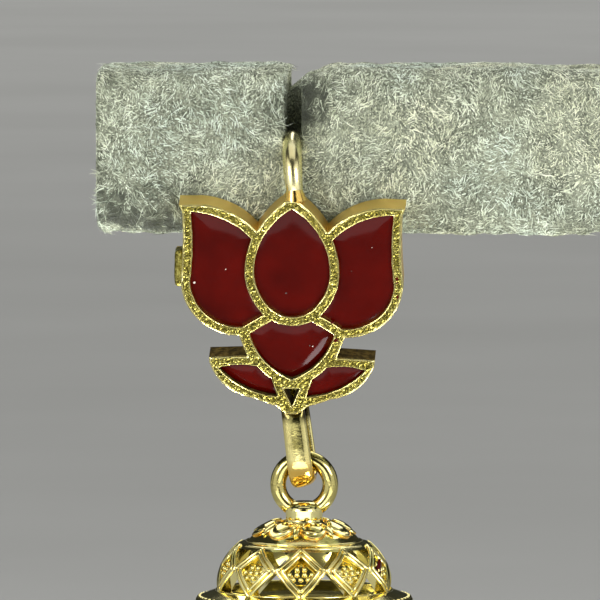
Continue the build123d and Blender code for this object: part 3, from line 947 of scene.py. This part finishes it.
ENAMEL_TOP = 0.93
ENAMEL_BOTTOM = 0.33
ENAMEL_FALL = 0.2
ENAMEL_SOFT = 0.75
RUN_SOFT = 0.10
RED_DEEP, RED_THIN = (0.040, 0.0008, 0.0002), (0.064, 0.0014, 0.0004)
RUNS = {
    # cell: the arc towards which its pool ran, how far in that reaches, and how steeply
    "enamel_shield": (flank, 0.9, 0.25),
    "enamel_leaf_left": (leaf_foot, 0.55, 0.30),
}


def enamel_grid(cell, run):
    """Rows run from the middle of the top out to the edge, down the side and back to the
    middle of the bottom. The top falls by an exponential of the distance from the edge, and
    a pool that ran falls evenly towards one arc, from a soft bend on."""
    distance, middle, side = cell
    edge_x, edge_y = cell_edge(cell, -0.012)
    share = np.sin(np.linspace(0, 1, 30) * np.pi / 2)[:, None]
    x, y = middle[0] + share * (edge_x - middle[0]), middle[1] + share * (edge_y - middle[1])
    inside = np.maximum(-distance(x, y), 0)
    top = ENAMEL_TOP - ENAMEL_FALL * np.exp(-inside / ENAMEL_SOFT)
    if run:
        arc, reach, slope = run
        top = top - slope * RUN_SOFT * np.logaddexp(0, (reach + off_circle(x, y, *arc)) / RUN_SOFT)
    top += 0.006 * wander(np.stack([x, y, 0 * x], -1), 3.0, 41)
    back = np.array([1.0, 0.5, 0.0])[:, None]
    under_x, under_y = middle[0] + back * (edge_x - middle[0]), middle[1] + back * (edge_y - middle[1])
    upper = on_plate(side * x, y, top)
    under = on_plate(side * under_x, under_y, np.full(under_x.shape, ENAMEL_BOTTOM))
    return np.concatenate([upper, under])


glaze, tree, shader, place = new_material("enamel_red", Roughness=0.10, Specular_IOR_Level=0.11)
red = ramp(tree, noise(tree, place, 2.6, 3), (0.3, RED_DEEP), (0.7, RED_THIN))
feed(tree, shader, "Base Color", red)
wave = add(tree, "Bump", {"Height": noise(tree, place, 0.9, 2), "Distance": 0.005 * MM, "Strength": 1.0})
feed(tree, shader, "Normal", wave.outputs["Normal"])

for node_name, cell in CELLS.items():
    piece = grid_mesh(node_name + "_fill", enamel_grid(cell, RUNS.get(node_name)), close_columns=True)
    finish_piece(piece, "root", glaze, [node_name])

# ---- flaws in the enamel ----
# Dust fired into the surface, small dark spots that paint the shade of pits, and red drips that ran over
# onto the rims.

DUST = (
    # plaque x, y, half size
    (-4.90, -5.55, 0.045),
    (-7.22, -6.65, 0.08),
    (1.55, -11.55, 0.045),
    (5.9, -3.6, 0.03),
    (3.3, -5.9, 0.025),
)
PITS = ((-0.42, -7.35, 0.08), (1.32, -11.5, 0.05), (4.4, -5.5, 0.045))
DRIPS = (
    # plaque x, y, half width, half height
    (3.28, -11.0, 0.24, 0.20),
    (7.75, -6.1, 0.10, 0.38),
    (7.8, -7.4, 0.09, 0.22),
    (-5.3, -13.0, 0.16, 0.10),
    (3.0, -9.6, 0.15, 0.10),
)


def spots(name, material, rows, out, thick, seed):
    """Small lumps sunk in the plaque's front: half sizes across, and how thick they are."""
    places = np.array([on_plate(x, y, out) for x, y, *_ in rows])
    halves = np.array([(row[2], row[-1], thick) for row in rows])
    piece = grid_mesh(name, lumps(places, halves, plate_ways, 0.12, seed), close_columns=True)
    finish_piece(piece, "root", material)


dust, *_ = new_material("enamel_dust", Roughness=0.6, Base_Color=(0.62, 0.52, 0.46, 1))
# Dark spots that paint the shade of small pits.
pit_shade, *_ = new_material("enamel_pit", Roughness=0.5, Base_Color=(0.035, 0.008, 0.005, 1))
spots("enamel_dust", dust, DUST, 0.925, 0.02, 71)
spots("enamel_pits", pit_shade, PITS, 0.925, 0.012, 72)
spots("enamel_drips", glaze, DRIPS, 1.0, 0.07, 73)

# ---- strap link ----
# A flat strap bent into a closed loop, a little crowned on the outside by the rolling. It leans, and its
# two bends slope across its width. Its middle is painted darker, a painted reflection, its foot amber, a
# painted reflection of gold, and its top dark, the plaque's painted shadow.

STAPLE_Y = 4.6
STRAP_W, STRAP_T, STRAP_INSIDE, STRAP_CROWN = 1.78, 0.44, 0.9, 0.26
STRAP_TOP, STRAP_BOTTOM = (-0.44, -17.24), (0.51, -24.8)
STRAP_SLOPE, STRAP_YAW = np.radians(9.0), np.radians(6.0)
STRAP_FLARE, STRAP_FOOT = 0.05, 0.22
CROWN_END, CROWN_FADE = 0.5, 0.9
SECTION_POWER = 0.45


def high(tree, place):
    """The height of a place."""
    return add(tree, "SeparateXYZ", {0: place}).outputs["Z"]


def boxed(value):
    """A sine or cosine raised to the section's power, with its sign kept."""
    return np.sign(value) * np.abs(value) ** SECTION_POWER


def strap_grid():
    """Rows go round the loop, two straights and two half circles. Columns go round the
    strap's section, a rounded box with powers of sine and cosine, and outside it has a crown
    that fades out behind the plaque's tip."""
    run = np.subtract(STRAP_BOTTOM, STRAP_TOP)
    tilt = np.arctan2(run[0], -run[1])
    straight = np.hypot(*run) / 2 - STRAP_INSIDE
    bend = np.linspace(0, np.pi, 17)
    rise = np.linspace(-straight, straight, 22)[1:-1]
    heading = np.concatenate([bend, np.full(20, np.pi), bend + np.pi, np.full(20, 2 * np.pi)])
    middle = np.concatenate([np.full(17, straight), rise[::-1], np.full(17, -straight), rise])
    angle = np.linspace(0, 2 * np.pi, 41)[:-1]
    across = boxed(np.cos(angle))
    outside = 0.5 * (1 + boxed(np.sin(angle)))
    foot = np.clip(-np.sin(heading), 0, 1)[:, None] ** 2
    crown = STRAP_CROWN * (1 - smooth_step((middle - CROWN_END) / CROWN_FADE))[:, None]
    thick = STRAP_T * outside + crown * (1 - np.abs(across) ** 3) * (outside > 0.5)
    thick = thick + foot * outside * STRAP_FOOT * (1 - 0.7 * across)
    reach = STRAP_INSIDE + thick
    y = reach * np.cos(heading)[:, None]
    wide = STRAP_W / 2 * (1 - STRAP_FLARE * middle / straight)[:, None] * across
    z = middle[:, None] + reach * np.sin(heading)[:, None] + np.sin(STRAP_SLOPE - tilt) * wide
    x = np.cos(STRAP_SLOPE - tilt) * wide
    loop = turned_about(np.stack([x, y, z], -1), 2, -STRAP_YAW)
    loop = turned_about(loop, 1, -tilt)
    return loop + [(STRAP_TOP[0] + STRAP_BOTTOM[0]) / 2, STAPLE_Y, (STRAP_TOP[1] + STRAP_BOTTOM[1]) / 2]


# limits between which a colour comes in: in height, from the middle, from the worn spot; the amber foot,
# dark top and darker middle are painted reflection and shadow
AMBER_REFLECTION_FOOT, PLAQUE_SHADOW_TOP = (-23.6, -24.5), (-21.0, -20.4)
DARK_REFLECTION_MIDDLE, DARK_REFLECTION_FOOT = (0.62, 0.3), (-23.4, -22.6)
DARK_REFLECTION_GOLD = (0.30, 0.27, 0.09)
WORN_AT, WORN_RAGGED, WORN_EDGE = np.array([0.15, 3.1, -22.4]), 1.1, (0.1, -0.3)
strap = grid_mesh("strap_band", strap_grid(), True, True)
rolled, tree, shader, place = gold("gold_rolled", 0.11, 0.005)
height = high(tree, place)
# Amber at the foot, a painted reflection of gold in gold.
over_colour(tree, shader, within(tree, height, AMBER_REFLECTION_FOOT, 0.9), AMBER_REFLECTION)
# Dark at the top, the plaque's painted shadow.
over_colour(tree, shader, within(tree, height, PLAQUE_SHADOW_TOP, 0.95), DARK_BROWN)
# The middle of the strap's face is painted darker, a painted dark reflection between its bright streaks.
strap_lean = (STRAP_BOTTOM[0] - STRAP_TOP[0]) / (STRAP_BOTTOM[1] - STRAP_TOP[1])
sideways = dot_product(tree, place, (1.0, 0.0, -strap_lean))
off_middle = calc(tree, "SUBTRACT", sideways, (STRAP_TOP[0] - strap_lean * STRAP_TOP[1]) * MM)
dark_reflection = within(tree, calc(tree, "ABSOLUTE", off_middle), DARK_REFLECTION_MIDDLE, 0.8)
over_colour(tree, shader, calc(tree, "MULTIPLY", dark_reflection, within(tree, height, DARK_REFLECTION_FOOT)), DARK_REFLECTION_GOLD)
ragged = calc(tree, "MULTIPLY", noise(tree, place, 0.3, 4), WORN_RAGGED * MM)
worn = calc(tree, "SUBTRACT", far_from(tree, place, WORN_AT), ragged)
over_colour(tree, shader, within(tree, worn, WORN_EDGE, 0.6), GRIME_AND_SHADE)
finish_piece(strap, "link", rolled, ["strap_link"])

# ---- bell ----
# A hollow bell, spun and pierced, with a ring and a solid collar soldered on top. Its outside is
# polished, and inside it is painted dark, a painted shade.

BELL_AT = np.array([0.57, STAPLE_Y, 0])
DIAMONDS, DIAMOND_TURN = 10, 0.5
PETALS, PETAL_TURN = 8, 15.0
band_centre, band_radius = circle_through((4.76, -29.82), (6.02, -31.46), (6.5, -33.4))
# limits in height between which a colour comes in: the ring's painted dark reflection and the painted
# shade inside the bell
RING_REFLECTION_FOOT, CAP_FOOT = (-27.2, -26.7), (-29.4, -29.7)
RING_DARK_REFLECTION = (0.42, 0.36, 0.11)
cap_centre, cap_radius = circle_through((1.7, -28.45), (3.3, -28.92), (4.2, -29.72))


def gold_bell():
    """Gold that is painted dark where the normal points back to the bell's axis, below the cap, a painted
    shade inside the bell, and duller on the ring, a painted dark reflection."""
    made, tree, shader, place = gold("gold_bell", 0.11)
    away = add(tree, "VectorMath", {0: place, 1: tuple(-BELL_AT * MM)}, operation="ADD").outputs["Vector"]
    level = add(tree, "VectorMath", {0: away, 1: (1, 1, 0)}, operation="MULTIPLY").outputs["Vector"]
    straight = add(tree, "VectorMath", {0: level}, operation="NORMALIZE").outputs["Vector"]
    inside_shade = between(tree, dot_product(tree, straight, own_normal(tree)), -0.05, -0.3)
    height = high(tree, place)
    inside_shade = calc(tree, "MULTIPLY", inside_shade, within(tree, height, CAP_FOOT))
    over_colour(tree, shader, calc(tree, "MULTIPLY", inside_shade, 0.85), GRIME_AND_SHADE)
    # The ring is painted duller, a painted dark reflection.
    over_colour(tree, shader, within(tree, height, RING_REFLECTION_FOOT, 0.75), RING_DARK_REFLECTION)
    return made


dress("bell", gold_bell())


def on_bell(degrees, radius, height):
    """Points from an angle round the bell from its front, a radius and a height."""
    angle = np.radians(degrees)
    flat = [radius * np.sin(angle), -radius * np.cos(angle), height + 0 * angle]
    return BELL_AT + np.stack(np.broadcast_arrays(*flat), -1)


def outward(path):
    """Unit vectors from the bell's axis to points, level."""
    return unit((path - BELL_AT) * [1, 1, 0])


def band_r(height):
    """Radius of the pierced band's outside, an arc of its profile."""
    return band_centre[0] + (band_radius**2 - (height - band_centre[1]) ** 2) ** 0.5


def cap_z(radius):
    """Height of the petal cap, an arc of its profile."""
    return cap_centre[1] + (cap_radius**2 - (radius - cap_centre[0]) ** 2) ** 0.5


# ---- diamonds of the band ----
# Each diamond has a frame of two ridges. Its sunk field holds a small pyramid, three rows of
# granules and a wedge, all soldered on.

INNER_RIDGE = ((0, -30.33), (12.9, -31.5), (0, -33.0), (-12.9, -31.5))
OUTER_RIDGE = ((0, -29.98), (17.2, -31.47), (0, -33.5), (-17.2, -31.47))
RIDGE_R, RIDGE_LIFT = 0.155, 0.03
FIELD_SINK = 0.28
GRANULE_R, GRANULE_LIFT = 0.185, 0.12
PYRAMID, PYRAMID_RISE = ((-5.6, -31.2), (5.6, -31.2), (0, -30.55)), 0.26
WEDGE, WEDGE_RISE = ((-4.6, -32.42), (0, -32.88), (4.6, -32.42)), 0.22
GRANULE_ROWS = ((-31.38, (-2.7, 2.7)), (-31.74, (-8.0, -2.7, 2.7, 8.0)), (-32.1, (-5.3, 0, 5.3)))
diamond_turns = DIAMOND_TURN + 360 / DIAMONDS * np.arange(DIAMONDS)[:, None]
upright = ((1, 0, 0), (0, 1, 0), (0, 0, 1))


def ridge(corners, steps=12):
    """A closed ridge on the band round every diamond, straight in angle and height."""
    corners = np.array(corners, float)
    way = np.arange(steps)[:, None] / steps
    line = np.concatenate([a + way * (b - a) for a, b in zip(corners, np.roll(corners, -1, 0))])
    height = np.broadcast_to(line[:, 1], (DIAMONDS, len(line)))
    path = on_bell(diamond_turns + line[:, 0], band_r(height) + RIDGE_LIFT, height)
    return tube(path, np.full(path.shape[:-1], RIDGE_R), outward(path))


def facets(corners, rise):
    """Flat-sided points on every field: corners in angle and height, and an apex over their
    middle. Rows are the apex, the corners and the middle of the base."""
    corners = np.array(corners, float)
    middle = corners.mean(0)
    line = np.array([np.repeat(middle[None], 3, 0), corners, np.repeat(middle[None], 3, 0)])
    lift = np.array([rise, 0.0, 0.0])[:, None] - FIELD_SINK - 0.02
    height = line[..., 1] + 0 * diamond_turns[..., None]
    return on_bell(diamond_turns[..., None] + line[..., 0], band_r(height) + lift, height)


polished, *_ = gold("gold_polished", 0.10, 0.003)
ridges = np.concatenate([ridge(INNER_RIDGE), ridge(OUTER_RIDGE)])
finish_piece(grid_mesh("diamond_ridges", ridges, True, True), "bell", polished)
flat_sided = np.concatenate([facets(PYRAMID, PYRAMID_RISE), facets(WEDGE, WEDGE_RISE)])
points = grid_mesh("diamond_points", flat_sided, close_columns=True, smooth=False)
finish_piece(points, "bell", polished)
grain_places = [
    on_bell(diamond_turns[:, 0] + angle, band_r(height) - FIELD_SINK + GRANULE_LIFT, height)
    for height, angles in GRANULE_ROWS
    for angle in angles
]
grains = lumps(np.concatenate(grain_places), (GRANULE_R,) * 3, upright, 0.05, 81, 6, 8)
finish_piece(grid_mesh("diamond_granules", grains, close_columns=True), "bell", polished)

# ---- cap and shoulder of the bell ----
# The cap is chased with round petals, each with an outline and a boss, and with narrow
# leaves between them. A bright wire closes the band's top, and a row of beads its shoulder.

SHOULDER_BEADS, SHOULDER_AT, SHOULDER_HALF = 70, (7.78, -34.02), (0.26, 0.26, 0.24)
PETAL_AT = 2.86
PETAL_WIDE, PETAL_LONG = 1.02, 1.04
OUTLINE_R, CHASED_LIFT = 0.07, 0.1
HOOPS = (
    # radius, height, half the wire
    (4.83, -30.0, 0.12),
    (4.3, -29.72, 0.07),
    (6.55, -33.42, 0.1),
)
BOSSES = (
    # radius on the cap, turn from a petal, half sizes across, along and up
    (2.9, 0, (0.82, 0.86, 0.24)),
    (3.15, 22.5, (0.28, 0.80, 0.17)),
)
CAP_SLOPE = ((1, 0, 0), (0, -0.87, -0.48), (0, -0.48, 0.87))
petal_turns = PETAL_TURN + 360 / PETALS * np.arange(PETALS)[:, None]


def on_cap(across, along, turns, lift):
    """Points on the cap from sizes across and along a petal's own axis, which goes out from
    the bell's axis, and a height above the cap."""
    radius = np.hypot(across, along)
    return on_bell(turns + np.degrees(np.arctan2(across, along)), radius, cap_z(radius) + lift)


def petal_outlines():
    """A closed ellipse of wire round every petal."""
    angle = np.linspace(0, 2 * np.pi, 41)[:-1]
    across, along = PETAL_WIDE * np.sin(angle), PETAL_AT + PETAL_LONG * np.cos(angle)
    path = on_cap(across, along, petal_turns, CHASED_LIFT)
    return tube(path, np.full(path.shape[:-1], OUTLINE_R), np.array([0, 0, 1.0]))


# The outlines are amber, a painted reflection of gold in gold.
chased, *_ = gold("gold_chased", 0.16, 0.003, AMBER_REFLECTION)
finish_piece(grid_mesh("cap_outlines", petal_outlines(), True, True), "bell", chased)


def bosses():
    """A domed boss in every petal and a leaf's belly between petals."""
    made = []
    for at, turn, halves in BOSSES:
        for angle in petal_turns[:, 0] + turn:
            ways = turned_about(np.array(CAP_SLOPE), 2, np.radians(angle))
            made.append(lumps(on_cap(0.0, at, angle, CHASED_LIFT), halves, ways, 0.02, 82, 13, 20))
    return np.array(made)


finish_piece(grid_mesh("cap_bosses", bosses(), close_columns=True), "bell", polished)


def hoop(radius, height, thick, turns=120):
    """A level wire hoop round the bell."""
    path = on_bell(np.arange(turns) * 360 / turns, radius, height)
    return tube(path, np.full(turns, thick), outward(path))


hoops = np.array([hoop(*row) for row in HOOPS])
finish_piece(grid_mesh("bell_hoops", hoops, True, True), "bell", polished)
bead_places = on_bell(np.arange(SHOULDER_BEADS) * 360 / SHOULDER_BEADS, *SHOULDER_AT)
shoulder_beads = lumps(bead_places, SHOULDER_HALF, upright, 0.03, 83, 7, 10)
finish_piece(grid_mesh("shoulder_beads", shoulder_beads, close_columns=True), "bell", polished)

RED_TRACE, TRACE_HALF = (72.5, -31.7), (0.5, 0.13, 0.75)
trace_at = on_bell(RED_TRACE[0], band_r(RED_TRACE[1]) - FIELD_SINK + GRANULE_LIFT, RED_TRACE[1])
trace_ways = turned_about(np.array(upright, float), 2, np.radians(RED_TRACE[0]))
trace_grid = lumps(trace_at, TRACE_HALF, trace_ways, 0.1, 84)
finish_piece(grid_mesh("enamel_trace", trace_grid, close_columns=True), "bell", glaze)

# ---- studio ----
# A pale floor far under the drop, two large soft boxes in front with a gap between them and a
# bright core in each, two dimmer ones at the sides, one overhead, one for the floor behind,
# and low cards that the enamel mirrors.

FLOOR_DROP, FLOOR_HALF = 0.03, 9.0
FLOOR_DULL, FLOOR_PALE = (0.50, 0.50, 0.48), (0.54, 0.54, 0.52)
CAMERA_TURN = np.radians(3.0)
CAMERA_RISE = np.radians(4.0)
CAMERA_AWAY = 0.7
CAMERA_LENS = 567.0
LOOK_AT = Vector((0.497, 0.0, -11.42)) * MM
HEART = Vector((0.0, 0.0, -0.015))
floor_z = cad_low.z - FLOOR_DROP

edge = np.linspace(-FLOOR_HALF, FLOOR_HALF, 9)
floor_x, floor_y = np.meshgrid(edge, edge)
floor_grid = np.stack([floor_x, floor_y, np.full(floor_x.shape, floor_z)], -1)
floor = grid_mesh("floor", floor_grid / MM, weld=False)
pale, tree, shader, place = new_material("floor_pale", Roughness=0.9)
paper = ramp(tree, noise(tree, place, 90, 3), (0.3, FLOOR_DULL), (0.7, FLOOR_PALE))
feed(tree, shader, "Base Color", paper)
floor.data.materials.append(pale)


def soft_box(name, place, target, size, glow):
    """A rectangular area light that the camera doesn't see, turned towards a target. Its
    power is its brightness times pi times its area."""
    lamp = bpy.data.lights.new(name, "AREA")
    lamp.shape = "RECTANGLE"
    lamp.size, lamp.size_y = size
    lamp.energy = glow * np.pi * size[0] * size[1]
    made = bpy.data.objects.new(name, lamp)
    bpy.context.scene.collection.objects.link(made)
    made.location = place
    made.rotation_euler = (Vector(target) - Vector(place)).to_track_quat("-Z", "Y").to_euler()
    made.visible_camera = False


def around_heart(turn, rise, away):
    """A place from its turn to the right of the front, its rise and its distance."""
    turn, rise = np.radians(turn), np.radians(rise)
    way = Vector((np.sin(turn) * np.cos(rise), -np.cos(turn) * np.cos(rise), np.sin(rise)))
    return HEART + away * way


BOXES = (
    # name, turn from the front, rise, distance, size, glow
    ("box", 48, 14, 0.46, (0.52, 0.50), 0.85),
    ("box_core", 42, 20, 0.44, (0.14, 0.13), 12.5),
    ("box_side", 103, 12, 0.5, (0.36, 0.30), 0.5),
)
CARDS = (
    # name, x, y, size, glow
    ("card_front", 0.0, -0.275, (0.24, 0.34), 2.1),
    ("card_right", 0.032, -0.021, (0.034, 0.034), 14.0),
    ("card_left", -0.026, -0.001, (0.016, 0.018), 60.0),
)
for side, end in ((-1, "_left"), (1, "_right")):
    for name, turn, rise, away, size, glow in BOXES:
        soft_box(name + end, around_heart(side * turn, rise, away), HEART, size, glow)
soft_box("box_top", (0.0, -0.12, 0.8), HEART, (0.9, 0.7), 0.8)
soft_box("box_floor", (0.0, 2.2, 2.2), (0, 1.8, -0.1), (3.0, 2.4), 2.1)
for name, x, y, size, glow in CARDS:
    card_at = Vector((x, y, floor_z + 0.001))
    soft_box(name, card_at, card_at + Vector((0, 0, 1)), size, glow)

world = bpy.data.worlds.new("studio")
bpy.context.scene.world = world
world.use_nodes = True
world.node_tree.nodes["Background"].inputs["Color"].default_value = (0.03, 0.032, 0.026, 1)

camera = bpy.data.objects.new("camera", bpy.data.cameras.new("camera"))
bpy.context.scene.collection.objects.link(camera)
level = np.cos(CAMERA_RISE)
back = Vector((np.sin(CAMERA_TURN) * level, -np.cos(CAMERA_TURN) * level, np.sin(CAMERA_RISE)))
camera.location = LOOK_AT + back * CAMERA_AWAY
camera.rotation_euler = (-back).to_track_quat("-Z", "Y").to_euler()
camera.data.lens = CAMERA_LENS
camera.data.sensor_width = 36.0
camera.data.clip_start = 0.01
bpy.context.scene.camera = camera
bpy.context.scene.view_settings.view_transform = "Standard"
